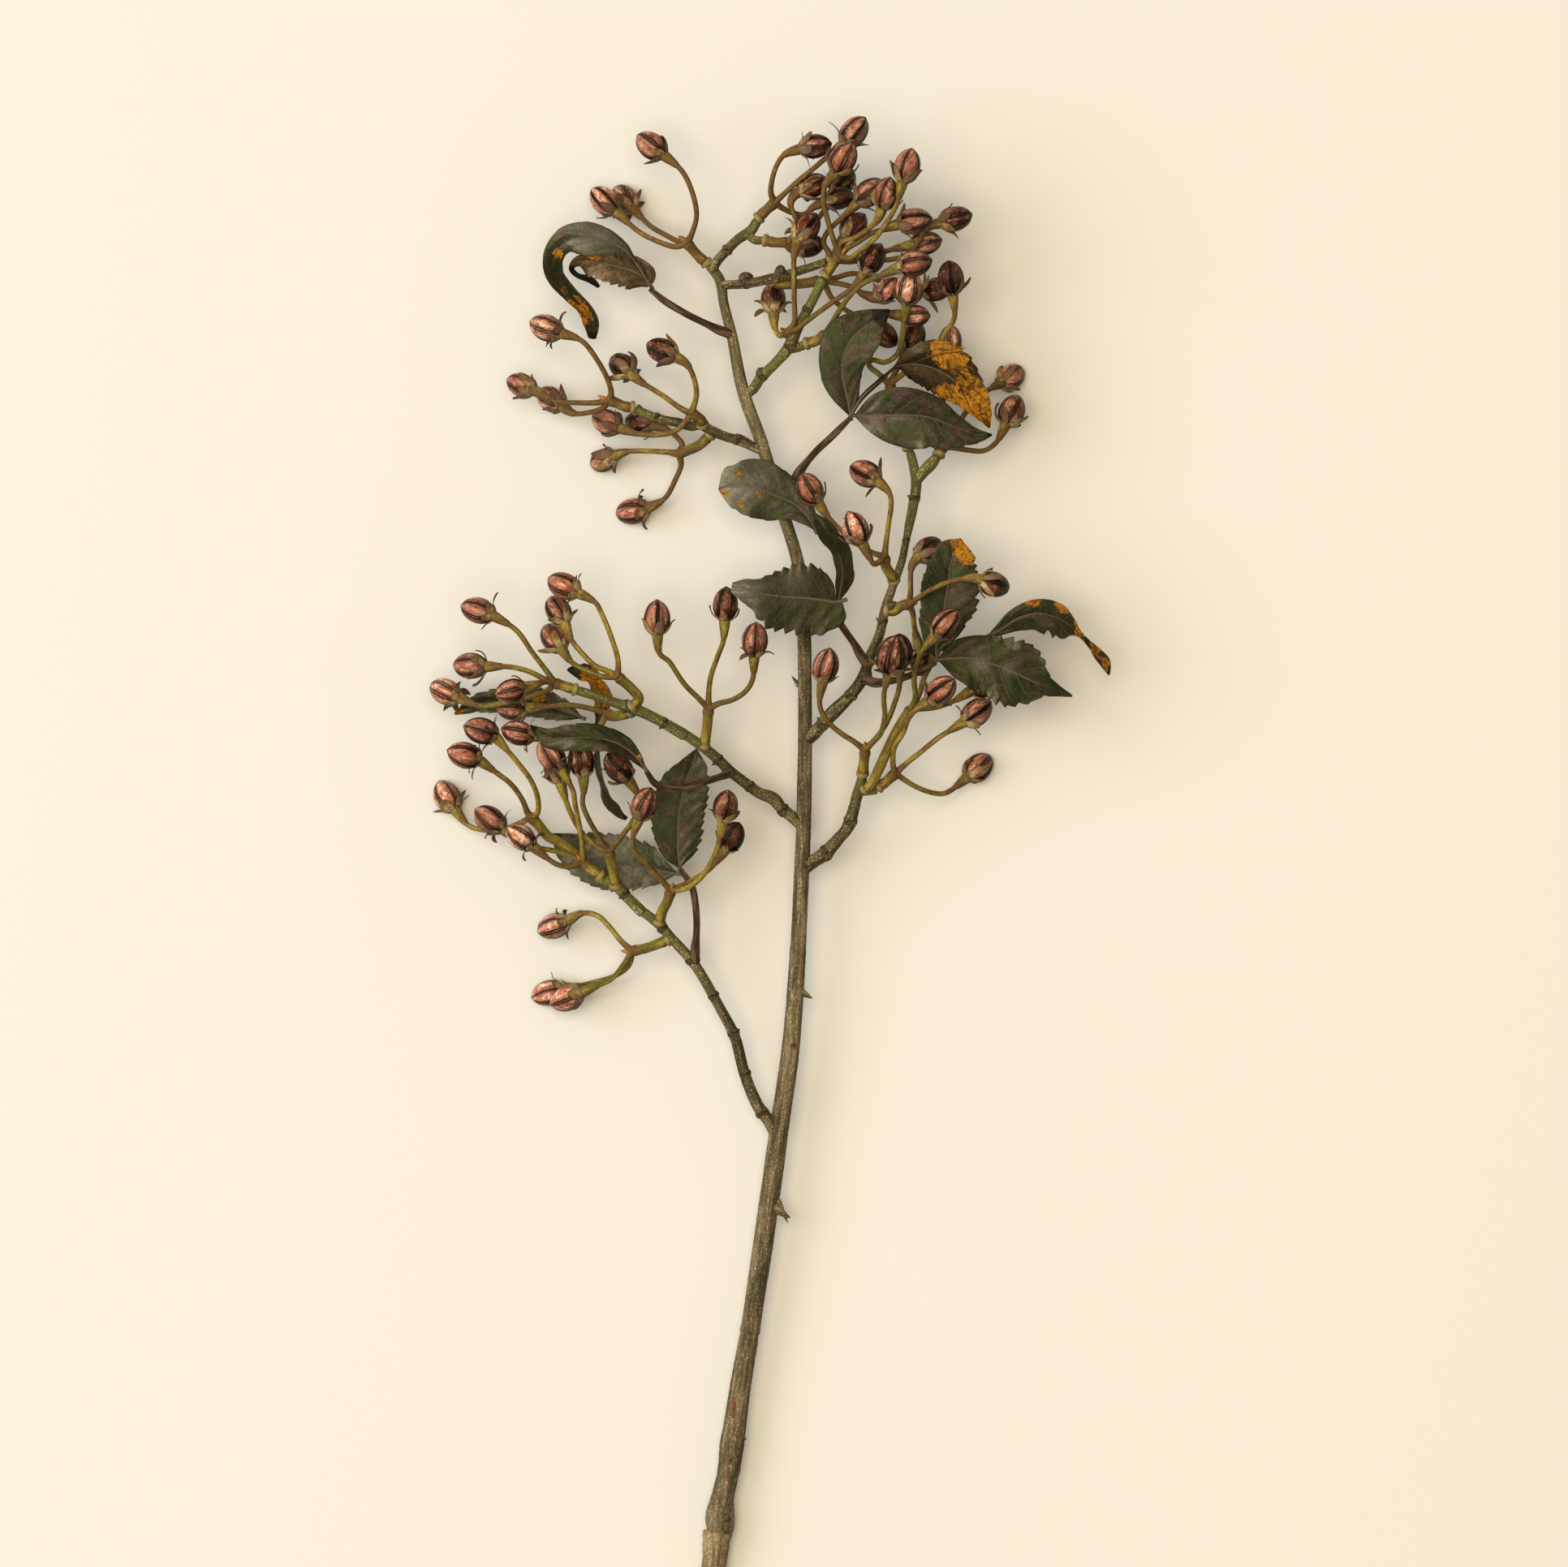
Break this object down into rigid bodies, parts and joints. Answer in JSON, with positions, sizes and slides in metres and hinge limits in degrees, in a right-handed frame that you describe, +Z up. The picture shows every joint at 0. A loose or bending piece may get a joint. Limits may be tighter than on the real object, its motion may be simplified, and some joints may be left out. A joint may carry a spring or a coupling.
{
  "type": "hypericum berry sprig",
  "caption": "Cut branching sprig lying flat, with forked twigs of ribbed capsule berries on slender stalks and dark toothed leaves.",
  "frame": {"origin": "centre of the lying sprig's bounding box in X and Y, on the surface that it lies on", "axes": "+Y along the stem from its cut end to the tip, +Z up from the surface, +X to the right seen from above"},
  "size_m": [0.2796, 0.6649, 0.0783],
  "materials": {
    "stem_bark": "ridged grey-brown bark, dull",
    "branch_bark": "smooth dark green-grey bark, dull",
    "fruiting_twig": "ochre and olive fruit stalks with red-brown ribbed capsules, low sheen",
    "leaf_stalk": "dark purple-brown, dull",
    "leaf_blade": "dark green-grey leathery blade with orange patches, low sheen"
  },
  "bodies": {
    "root": {"main_stem": "stem_bark", "stem_base": "stem_bark", "low_left_branch": "branch_bark", "low_left_twig_1": "fruiting_twig", "low_left_twig_2": "fruiting_twig", "low_left_twig_3": "fruiting_twig", "low_left_twig_4": "fruiting_twig", "low_left_twig_5": "fruiting_twig", "low_left_leaf_stalk_1": "leaf_stalk", "low_left_leaf_1": "leaf_blade", "low_left_leaf_2": "leaf_blade", "mid_left_branch": "branch_bark", "mid_left_twig_1": "fruiting_twig", "mid_left_twig_2": "fruiting_twig", "mid_left_twig_3": "fruiting_twig", "mid_left_twig_4": "fruiting_twig", "mid_left_leaf_stalk_1": "leaf_stalk", "mid_left_leaf_1": "leaf_blade", "mid_left_leaf_2": "leaf_blade", "mid_left_leaf_3": "leaf_blade", "mid_left_leaf_4": "leaf_blade", "low_right_branch": "branch_bark", "low_right_twig_1": "fruiting_twig", "low_right_twig_2": "fruiting_twig", "low_right_twig_3": "fruiting_twig", "high_right_branch": "branch_bark", "high_right_twig_1": "fruiting_twig", "high_right_twig_2": "fruiting_twig", "high_right_twig_3": "fruiting_twig", "high_right_twig_4": "fruiting_twig", "high_right_leaf_stalk_1": "leaf_stalk", "high_right_leaf_stalk_2": "leaf_stalk", "high_right_leaf_1": "leaf_blade", "high_right_leaf_2": "leaf_blade", "high_right_leaf_3": "leaf_blade", "high_right_leaf_4": "leaf_blade", "high_right_leaf_5": "leaf_blade", "high_right_leaf_6": "leaf_blade", "high_left_branch": "branch_bark", "high_left_twig_1": "fruiting_twig", "high_left_twig_2": "fruiting_twig", "high_left_twig_3": "fruiting_twig", "top_right_branch": "branch_bark", "top_right_twig_1": "fruiting_twig", "top_right_twig_2": "fruiting_twig", "top_right_twig_3": "fruiting_twig", "top_right_leaf_stalk_1": "leaf_stalk", "top_right_leaf_1": "leaf_blade", "top_right_leaf_2": "leaf_blade", "top_right_leaf_3": "leaf_blade", "crown_branch": "branch_bark", "crown_twig_1": "fruiting_twig", "crown_twig_2": "fruiting_twig", "crest_branch": "branch_bark", "crest_twig_1": "fruiting_twig", "crest_twig_2": "fruiting_twig", "tip_twig_1": "fruiting_twig", "tip_leaf_stalk_1": "leaf_stalk", "tip_leaf_1": "leaf_blade", "tip_leaf_2": "leaf_blade"}
  },
  "joints": []
}
